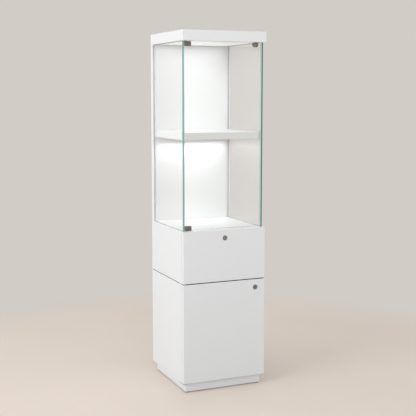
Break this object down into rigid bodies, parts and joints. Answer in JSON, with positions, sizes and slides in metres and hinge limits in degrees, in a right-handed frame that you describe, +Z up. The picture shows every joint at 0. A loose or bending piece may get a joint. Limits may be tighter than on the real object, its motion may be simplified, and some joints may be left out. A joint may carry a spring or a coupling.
{
  "type": "pedestal display case",
  "caption": "Slim white tower display case: glazed compartment with a lockable glass door, shelf and canopy light, over a lockable drawer and a lockable cabinet on a plinth",
  "frame": {"origin": "centre of the footprint, on the floor under the glides", "axes": "+Z up, -Y towards the viewer who stands before the doors and the drawer, +X to that viewer's right"},
  "size_m": [0.45, 0.4525, 1.8],
  "materials": {
    "white_lacquer": "satin white lacquer on fibreboard",
    "dark_board": "matt dark stain on fibreboard",
    "drawer_board": "matt off-white foil on board",
    "clear_glass": "toughened float glass, polished edges with a green-blue tint",
    "satin_nickel": "satin nickel plate",
    "bronze_nickel": "dark nickel with a bronze tone, brushed",
    "zinc_steel": "zinc plated steel",
    "anodised_aluminium": "natural anodised",
    "black_nylon": "moulded nylon, fine grain",
    "opal_acrylic": "opal light diffuser, satin",
    "light_board": "white solder mask"
  },
  "bodies": {
    "root": {"plinth_frame": "white_lacquer", "glide_front_left": "black_nylon", "glide_front_right": "black_nylon", "glide_back_left": "black_nylon", "glide_back_right": "black_nylon", "cabinet_side_left": "white_lacquer", "cabinet_side_right": "white_lacquer", "cabinet_bottom": "white_lacquer", "cabinet_top": "white_lacquer", "cabinet_back": "white_lacquer", "door_pivot_lower": "zinc_steel", "door_pivot_upper": "zinc_steel", "door_lock_strike": "zinc_steel", "shadow_gap_spacer": "dark_board", "case_side_left": "white_lacquer", "case_side_right": "white_lacquer", "case_bottom": "white_lacquer", "case_back": "white_lacquer", "deck": "white_lacquer", "runner_left_fixed": "zinc_steel", "runner_right_fixed": "zinc_steel", "back_panel": "white_lacquer", "glass_channel_left": "anodised_aluminium", "glass_channel_right": "anodised_aluminium", "side_glass_left": "clear_glass", "side_glass_right": "clear_glass", "glass_bush_lower": "black_nylon", "glass_bush_upper": "black_nylon", "display_shelf": "white_lacquer", "shelf_pin_left": "zinc_steel", "shelf_pin_right": "zinc_steel", "shelf_light": "opal_acrylic", "canopy": "white_lacquer", "canopy_diffuser": "opal_acrylic", "canopy_light_board": "light_board", "light_driver": "black_nylon"},
    "cabinet_door": {"cabinet_door": "white_lacquer", "door_bush_lower": "black_nylon", "door_bush_upper": "black_nylon", "door_lock_housing": "satin_nickel"},
    "door_lock": {"door_lock_plug": "satin_nickel", "door_lock_cam": "zinc_steel"},
    "drawer": {"drawer_front": "white_lacquer", "drawer_side_left": "drawer_board", "drawer_side_right": "drawer_board", "drawer_back": "drawer_board", "drawer_bottom": "drawer_board", "runner_left_drawer": "zinc_steel", "runner_right_drawer": "zinc_steel", "drawer_lock_housing": "satin_nickel"},
    "runner_middle": {"runner_left_middle": "zinc_steel", "runner_right_middle": "zinc_steel"},
    "drawer_lock": {"drawer_lock_plug": "satin_nickel", "drawer_lock_cam": "zinc_steel"},
    "glass_door": {"glass_door": "clear_glass", "glass_hinge_lower": "bronze_nickel", "glass_hinge_upper": "bronze_nickel", "glass_lock_case": "bronze_nickel"},
    "glass_lock": {"glass_lock_plug": "satin_nickel"},
    "glass_bolt": {"glass_lock_bolt": "zinc_steel"}
  },
  "joints": [
    {"name": "cabinet_door_swing", "type": "hinge", "parent": "root", "child": "cabinet_door", "pos_m": [-0.2175, -0.218, 0.3], "axis": [0, 0, -1], "range_deg": [0, 110]},
    {"name": "door_lock_turn", "type": "hinge", "parent": "cabinet_door", "child": "door_lock", "pos_m": [0.17, -0.225, 0.515], "axis": [0, -1, 0], "range_deg": [0, 90]},
    {"name": "drawer_slide", "type": "slide", "parent": "root", "child": "drawer", "axis": [0, -1, 0], "range_m": [0, 0.34]},
    {"name": "runner_middle_slide", "type": "slide", "parent": "root", "child": "runner_middle", "axis": [0, -1, 0], "range_m": [0, 0.17]},
    {"name": "drawer_lock_turn", "type": "hinge", "parent": "drawer", "child": "drawer_lock", "pos_m": [0, -0.225, 0.7803], "axis": [0, -1, 0], "range_deg": [0, 90]},
    {"name": "glass_door_swing", "type": "hinge", "parent": "root", "child": "glass_door", "pos_m": [-0.1945, -0.1935, 1.285], "axis": [0, 0, -1], "range_deg": [0, 110]},
    {"name": "glass_lock_turn", "type": "hinge", "parent": "glass_door", "child": "glass_lock", "pos_m": [0.1755, -0.2075, 1.7335], "axis": [0, -1, 0], "range_deg": [0, 90]},
    {"name": "glass_bolt_slide", "type": "slide", "parent": "glass_door", "child": "glass_bolt", "axis": [0, 0, 1], "range_m": [0, 0.006]}
  ],
  "couplings": [
    {"joint": "runner_middle_slide", "follows": "drawer_slide", "ratio": 0.5},
    {"joint": "glass_lock_turn", "follows": "glass_bolt_slide", "rad_per_m": 261.8}
  ]
}
